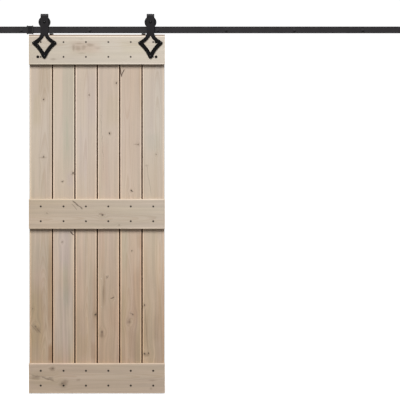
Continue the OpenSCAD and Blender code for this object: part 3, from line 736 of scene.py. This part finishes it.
# The marks on each plank, measured in metres from its middle: across it, then along it.
# knots (across, along, radius, strength); blotches (across, along, half width, half length, strength);
# cracks (start, end, width, strength, waver); flecks (across, along, radius, strength);
# washes (across, along, half width, half length, tint, strength, edge). pith is the trunk's axis, as (u, v).
BOARD_LOOKS = {
    1: dict(tint=(0.98, 0.98, 0.97), pith=(0.012, 0.050),
            knots=[(0.012, 0.682, 5 * MM), (0.012, 0.340, 6 * MM, 0.55), (-0.036, -0.672, 9 * MM, 0.3),
                   (-0.053, -0.565, 4 * MM, 0.6)],
            blotches=[(-0.020, -0.690, 22 * MM, 24 * MM, 0.45), (0.012, 0.335, 28 * MM, 7 * MM, 0.3)],
            cracks=[((-0.040, -0.67), (0.000, -0.715), 3 * MM, 0.35),
                    ((-0.062, -0.66), (-0.030, -0.700), 3 * MM, 0.3)],
            washes=[(0.012, 0.80, 42 * MM, 120 * MM, SHADED, 0.75), (-0.025, 0.62, 28 * MM, 110 * MM, OLIVE, 0.5),
                    (0.055, 0.45, 14 * MM, 260 * MM, SHADED, 0.6), (-0.025, -0.62, 42 * MM, 220 * MM, OLIVE, 0.9),
                    (0.052, -0.42, 15 * MM, 360 * MM, BROWN, 0.75), (0.052, -0.84, 18 * MM, 60 * MM, BROWN, 1.0),
                    (0.0, -0.25, 60 * MM, 110 * MM, GREENISH, 0.35)]),
    2: dict(tint=(1.0, 1.0, 1.0), pith=(-0.11, 0.030),
            knots=[(0.052, 0.243, 6 * MM), (-0.012, 0.192, 5 * MM, 0.6), (-0.014, -0.168, 5 * MM, 0.6)],
            blotches=[(0.048, 0.235, 18 * MM, 7 * MM, 0.35)],
            cracks=[((0.036, -0.106), (0.058, -0.128), 5 * MM, 0.95), ((-0.022, 0.19), (0.0, 0.197), 3 * MM, 0.5)],
            washes=[(0.029, 0.62, 40 * MM, 420 * MM, GREENISH, 0.72, 0.16),
                    (-0.034, 0.60, 26 * MM, 420 * MM, PALE, 0.45),
                    (0.016, 0.47, 9 * MM, 130 * MM, GREENISH, 0.6), (0.034, 0.21, 20 * MM, 50 * MM, LILAC, 0.5),
                    (0.0, -0.20, 34 * MM, 150 * MM, LILAC, 0.9), (0.054, -0.30, 14 * MM, 220 * MM, PALE, 0.9),
                    (0.006, -0.42, 18 * MM, 170 * MM, GREENISH, 0.8), (-0.046, -0.45, 16 * MM, 300 * MM, PALE, 0.6),
                    (0.0, -0.64, 70 * MM, 230 * MM, COOL, 1.0), (0.0, -0.45, 75 * MM, 500 * MM, COOL, 0.55),
                    (0.022, -0.62, 14 * MM, 90 * MM, PALE, 0.5)]),
    3: dict(tint=(1.01, 1.005, 1.01), pith=(0.0, 0.040),
            knots=[(0.014, 0.708, 4 * MM, 0.85), (0.052, -0.600, 7 * MM, 0.8)],
            blotches=[(0.054, -0.60, 9 * MM, 34 * MM, 0.5)],
            washes=[(0.03, 0.70, 34 * MM, 190 * MM, LILAC, 0.45), (-0.025, 0.35, 34 * MM, 180 * MM, LILAC, 0.35),
                    (0.020, -0.45, 18 * MM, 200 * MM, GREENISH, 0.45),
                    (0.045, -0.50, 14 * MM, 220 * MM, BROWN, 0.40),
                    (-0.02, -0.78, 30 * MM, 80 * MM, OLIVE, 0.4), (0.04, -0.82, 18 * MM, 60 * MM, BROWN, 0.45)],
            flecks=[(-0.012, -0.27, 34 * MM, 0.35)]),
    4: dict(tint=(1.0, 0.985, 0.985), pith=(0.15, 0.02),
            knots=[(0.043, 0.780, 6 * MM), (0.003, 0.479, 6 * MM), (-0.014, -0.375, 5 * MM, 0.35),
                   (0.022, -0.500, 5 * MM, 0.5), (-0.043, -0.705, 9 * MM, 0.3)],
            blotches=[(-0.042, -0.72, 16 * MM, 34 * MM, 0.5), (-0.035, -0.48, 7 * MM, 60 * MM, 0.3)],
            cracks=[((-0.004, -0.368), (-0.020, -0.388), 4 * MM, 0.4),
                    ((0.008, -0.506), (0.032, -0.494), 4 * MM, 0.6),
                    ((-0.052, 0.62), (-0.030, 0.22), 2 * MM, 0.3, 10 * MM)],
            washes=[(-0.03, 0.30, 30 * MM, 170 * MM, PINKISH, 0.5), (0.02, 0.62, 44 * MM, 110 * MM, OLIVE, 0.35),
                    (-0.045, -0.20, 18 * MM, 160 * MM, PINKISH, 0.6),
                    (-0.030, -0.46, 9 * MM, 110 * MM, SHADED, 0.9),
                    (0.02, -0.62, 34 * MM, 90 * MM, PINKISH, 0.45), (0.054, -0.40, 10 * MM, 320 * MM, PALE, 0.35)],
            flecks=[(-0.012, -0.372, 16 * MM, 0.9), (-0.050, -0.39, 14 * MM, 0.8), (0.038, -0.325, 16 * MM, 0.7),
                    (-0.040, -0.565, 22 * MM, 0.7), (0.040, -0.51, 16 * MM, 0.4)]),
    5: dict(tint=(0.995, 0.975, 0.96), pith=(-0.02, 0.052),
            knots=[(0.040, 0.414, 5 * MM, 0.9), (0.0, 0.138, 5 * MM, 0.75), (0.001, -0.221, 4.5 * MM, 0.7),
                   (0.006, -0.600, 6 * MM, 0.4), (-0.012, -0.645, 8 * MM, 0.2)],
            blotches=[(0.026, 0.414, 20 * MM, 5 * MM, 0.35), (-0.012, -0.64, 18 * MM, 26 * MM, 0.35)],
            cracks=[((-0.043, 0.862), (-0.063, 0.812), 4 * MM, 0.95),
                    ((-0.066, 0.870), (-0.060, 0.815), 4 * MM, 0.9),
                    ((-0.008, 0.142), (0.012, 0.130), 4 * MM, 0.6),
                    ((-0.010, -0.590), (0.016, -0.604), 4 * MM, 0.35)],
            washes=[(0.0, 0.60, 70 * MM, 420 * MM, PINKISH, 0.30), (0.056, 0.75, 13 * MM, 200 * MM, BROWN, 0.35),
                    (-0.040, -0.22, 18 * MM, 150 * MM, GREENISH, 0.6),
                    (0.030, -0.48, 24 * MM, 200 * MM, BROWN, 0.42),
                    (0.056, -0.30, 12 * MM, 240 * MM, PINKISH, 1.0), (0.010, -0.78, 40 * MM, 110 * MM, SHADED, 0.5),
                    (-0.046, -0.60, 14 * MM, 180 * MM, OLIVE, 0.35), (0.045, -0.17, 18 * MM, 60 * MM, BROWN, 0.35)],
            flecks=[(0.008, -0.605, 16 * MM, 0.9), (0.002, -0.222, 12 * MM, 0.7)]),
    6: dict(tint=(1.0, 1.005, 1.0), pith=(0.03, 0.048),
            knots=[(0.017, 0.354, 4 * MM, 0.6), (-0.053, -0.545, 7 * MM, 0.8), (-0.052, -0.835, 7 * MM, 0.85),
                   (-0.028, -0.830, 5 * MM, 0.8)],
            blotches=[(-0.04, 0.288, 14 * MM, 8 * MM, 0.25), (-0.035, -0.840, 22 * MM, 18 * MM, 0.4)],
            cracks=[((-0.040, 0.29), (-0.010, 0.105), 3 * MM, 0.22),
                    ((-0.050, -0.56), (-0.030, -0.84), 3 * MM, 0.25)],
            washes=[(0.0, 0.62, 70 * MM, 340 * MM, COOL, 0.55), (0.0, 0.42, 50 * MM, 60 * MM, GREENISH, 0.4),
                    (0.0, -0.38, 70 * MM, 330 * MM, PALE, 0.55), (0.030, -0.30, 13 * MM, 170 * MM, PALE, 0.7),
                    (-0.046, -0.28, 16 * MM, 120 * MM, OLIVE, 0.3), (0.02, -0.68, 30 * MM, 90 * MM, SHADED, 0.35),
                    (-0.044, -0.70, 14 * MM, 110 * MM, SHADED, 0.5)],
            flecks=[(-0.030, 0.60, 36 * MM, 0.5), (0.030, 0.62, 30 * MM, 0.5), (0.015, -0.43, 26 * MM, 0.5)]),
}
# The rails' tones are darker and warmer the lower the rail sits, partly painted shade of light falling off
# downwards, like the boards.
RAIL_LOOKS = {
    # The top rail has painted shade on its bevel and in its spare holes.
    "top_rail": dict(seed=91.7, nail_stain=4.0 * MM, rough=0.8, browned_bevel=True, pith=(0.03, 0.05),
                     tones=[(0.0, srgb(181, 171, 156)), (1.0, srgb(197, 187, 174))],
                     blotches=[(0.012, -0.138, 28 * MM, 13 * MM, 0.38), (0.006, -0.112, 21 * MM, 25 * MM, 0.32),
                               (0.014, -0.078, 22 * MM, 17 * MM, 0.28), (0.028, -0.036, 13 * MM, 32 * MM, 0.34),
                               (0.036, -0.105, 7 * MM, 42 * MM, 0.26), (-0.022, -0.090, 7 * MM, 34 * MM, 0.22),
                               (0.008, 0.004, 9 * MM, 24 * MM, 0.20), (-0.058, -0.26, 9 * MM, 26 * MM, 0.3),
                               (0.062, -0.09, 7 * MM, 20 * MM, 0.2)],
                     washes=[(0.0, -0.10, 50 * MM, 90 * MM, SHADED, 0.35),
                             (0.02, 0.22, 50 * MM, 90 * MM, OLIVE, 0.4),
                             (0.012, -0.07, 40 * MM, 110 * MM, PINKISH, 0.8)],
                     flecks=[(0.02, -0.06, 22 * MM, 0.3)]),
    "middle_rail": dict(seed=57.1, nail_stain=4.4 * MM, rough=1.1, pith=(-0.02, 0.06),
                        tones=[(0.0, srgb(181, 165, 145)), (1.0, srgb(191, 177, 161))],
                        knots=[(-0.007, 0.034, 7 * MM, 0.7), (0.004, -0.298, 4.5 * MM, 0.4),
                               (-0.065, 0.132, 3.5 * MM, 0.5)],
                        blotches=[(0.0, 0.025, 8 * MM, 20 * MM, 0.35)],
                        cracks=[((0.079, -0.145), (0.024, -0.080), 5 * MM, 0.65, 7 * MM),
                                ((0.060, -0.150), (0.020, -0.115), 3 * MM, 0.4)],
                        flecks=[(0.0, -0.295, 10 * MM, 0.6)]),
    "bottom_rail": dict(seed=23.9, nail_stain=4.9 * MM, rough=1.25, pith=(0.01, 0.042),
                        tones=[(0.0, srgb(184, 166, 147)), (1.0, srgb(187, 169, 150))],
                        knots=[(-0.030, -0.205, 8 * MM, 0.45), (0.058, -0.262, 7 * MM, 0.3)],
                        blotches=[(0.055, -0.265, 20 * MM, 22 * MM, 0.5), (-0.034, -0.195, 28 * MM, 34 * MM, 0.5),
                                  (-0.01, -0.11, 12 * MM, 20 * MM, 0.35), (-0.012, 0.325, 8 * MM, 45 * MM, 0.3),
                                  (-0.062, 0.322, 10 * MM, 12 * MM, 0.3), (0.0, -0.36, 14 * MM, 46 * MM, 0.35)],
                        cracks=[((0.016, -0.390), (-0.006, -0.250), 6 * MM, 0.35, 14 * MM),
                                ((-0.002, -0.31), (-0.014, -0.245), 4 * MM, 0.4, 9 * MM)],
                        washes=[(0.0, -0.30, 60 * MM, 120 * MM, OLIVE, 0.35)],
                        flecks=[(0.012, -0.340, 18 * MM, 0.4), (-0.03, -0.20, 26 * MM, 0.4),
                                (0.04, -0.10, 18 * MM, 0.4)]),
}


def assign_wood(shown):
    for number, look in BOARD_LOOKS.items():
        paint(shown["board_%d" % number], board_material(number, **look))
    for node, look in RAIL_LOOKS.items():
        paint(shown[node], rail_material(node, **look))


# ---------------------------------------------------------------- studio

def softbox(name, place, target, width, height, power):
    """A soft rectangular lamp that the camera doesn't see."""
    lamp = bpy.data.lights.new(name, "AREA")
    lamp.shape = "RECTANGLE"
    lamp.size, lamp.size_y = width, height
    lamp.energy = power
    holder = in_scene(name, lamp)
    holder.location = place
    holder.rotation_euler = (Vector(target) - Vector(place)).to_track_quat("-Z", "Y").to_euler()
    holder.visible_camera = False


def world():
    """White to the camera, and a weaker soft fill to everything else."""
    made = bpy.data.worlds.new("studio")
    made.use_nodes = True
    nodes, links = made.node_tree.nodes, made.node_tree.links
    nodes.clear()
    either = nodes.new("ShaderNodeMixShader")
    path = nodes.new("ShaderNodeLightPath")
    links.new(path.outputs["Is Camera Ray"], either.inputs[0])
    for place, strength in ((1, SOFT_FILL), (2, BRIGHT)):
        glow = nodes.new("ShaderNodeBackground")
        glow.inputs["Color"].default_value = WHITE
        glow.inputs["Strength"].default_value = strength
        links.new(glow.outputs[0], either.inputs[place])
    out = nodes.new("ShaderNodeOutputWorld")
    links.new(either.outputs[0], out.inputs["Surface"])
    bpy.context.scene.world = made


def floor(z):
    """A plain pale floor that fades into the white background. Light bounces off it weakly."""
    mesh = bpy.data.meshes.new("studio_floor")
    build = bmesh.new()
    bmesh.ops.create_circle(build, cap_ends=True, segments=96, radius=FLOOR_REACH)
    build.to_mesh(mesh)
    build.free()
    piece = in_scene("studio_floor", mesh)
    piece.location = (0.0, 0.0, z)
    g = Graph("studio_floor")
    seen = Value(g, g.node("LightPath", {}).outputs["Is Camera Ray"])
    speck = g.noise(g.place(3.0), 3.0)
    away = (abs(g.x) - CAD_BOX[1][0]).most(0.0).beside(g.y)
    pale = g.node("BsdfDiffuse", {"Color": g.shade((0.86, 0.86, 0.855, 1.0), 1.0 + speck * 0.006)})
    dull = g.node("BsdfDiffuse", {"Color": (0.30, 0.29, 0.28, 1.0)})
    white = g.node("Emission", {"Color": WHITE, "Strength": BRIGHT})
    lift = g.node("Emission", {"Color": WHITE, "Strength": 0.30})
    lit = g.node("AddShader", {0: pale.outputs[0], 1: lift.outputs[0]})
    faded = g.node("MixShader", {0: away.step(*FLOOR_FADE), 1: lit.outputs[0], 2: white.outputs[0]})
    either = g.node("MixShader", {0: seen, 1: dull.outputs[0], 2: faded.outputs[0]})
    g.node("OutputMaterial", {"Surface": either.outputs[0]})
    paint(piece, g.material)


def camera():
    """Square to the door, at the photo's angle and framing."""
    lens = bpy.data.cameras.new("camera")
    lens.lens = LENS
    lens.sensor_width = SENSOR
    lens.clip_end = VIEW_CLIP
    holder = in_scene("camera", lens)
    rail_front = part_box("middle_rail")[0].y
    away = VIEW_WIDTH * LENS / SENSOR
    holder.location = (-VIEW_LEFT_OF_CENTRE, rail_front - away, -VIEW_BELOW_TRACK)
    holder.rotation_euler = (math.radians(90.0), 0.0, 0.0)
    bpy.context.scene.camera = holder


camera()
world()
floor(CAD_BOX[0][2] - FLOOR_GAP)
door = (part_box("middle_rail")[0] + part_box("middle_rail")[1]) / 2
softbox("key_softbox", place=(door.x - 1.5, -7.0, 7.0), target=(door.x, 0.0, door.z),
        width=5.6, height=4.6, power=1500.0)
softbox("back_softbox", place=(0.6, 4.4, 2.6), target=(0.0, 0.0, door.z), width=4.0, height=3.0, power=300.0)
softbox("side_softbox", place=(4.8, -1.2, 1.0), target=(0.0, 0.0, door.z), width=2.0, height=2.4, power=35.0)
bpy.context.scene.view_settings.view_transform = "Standard"

shown = softened_nodes()
shown["lag_threads"] = lag_threads()
assign_wood(shown)
assign_materials(shown)
